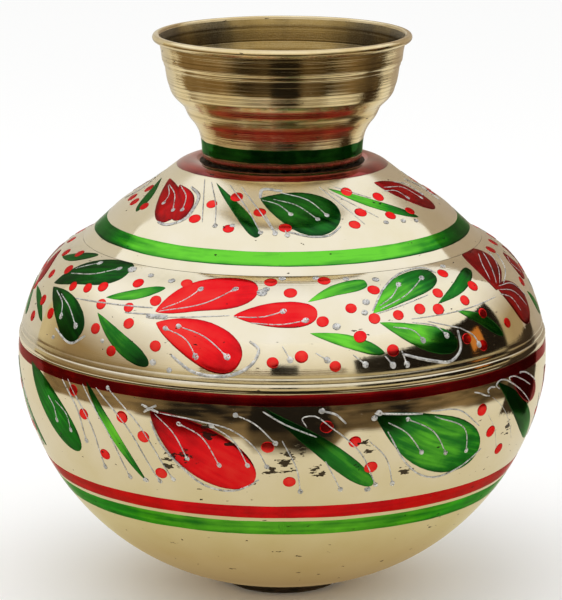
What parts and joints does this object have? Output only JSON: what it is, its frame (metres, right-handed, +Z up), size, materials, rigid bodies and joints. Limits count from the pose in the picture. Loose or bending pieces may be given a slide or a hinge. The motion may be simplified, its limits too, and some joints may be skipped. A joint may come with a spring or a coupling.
{
  "type": "brass water pot",
  "caption": "Round-bellied brass matka with a flared neck and a low foot ring, painted with floral bands.",
  "frame": {"origin": "centre of the foot ring's flat underside, on the surface that the pot stands on", "axes": "+Z up the pot's axis towards the mouth; -Y is the side that the picture shows"},
  "size_m": [0.2408, 0.2408, 0.254],
  "materials": {
    "cast_brass": "cast, lathe-turned and polished, with fine tool lines and pinholes",
    "spun_brass": "spun sheet, mirror polished, pale gold",
    "dark_brass": "unpolished, darkened by brazing heat",
    "brazing_metal": "dull, as it ran",
    "red_enamel": "glossy translucent lacquer paint",
    "green_enamel": "glossy translucent lacquer paint",
    "silver_liner": "raised silver glitter paint"
  },
  "bodies": {
    "root": {"neck": "cast_brass", "shoulder": "spun_brass", "upper_shell": "spun_brass", "bowl": "spun_brass", "foot_ring": "dark_brass", "neck_brazing": "brazing_metal", "shoulder_brazing": "brazing_metal", "belly_brazing": "brazing_metal", "foot_brazing": "dark_brass"}
  },
  "joints": []
}
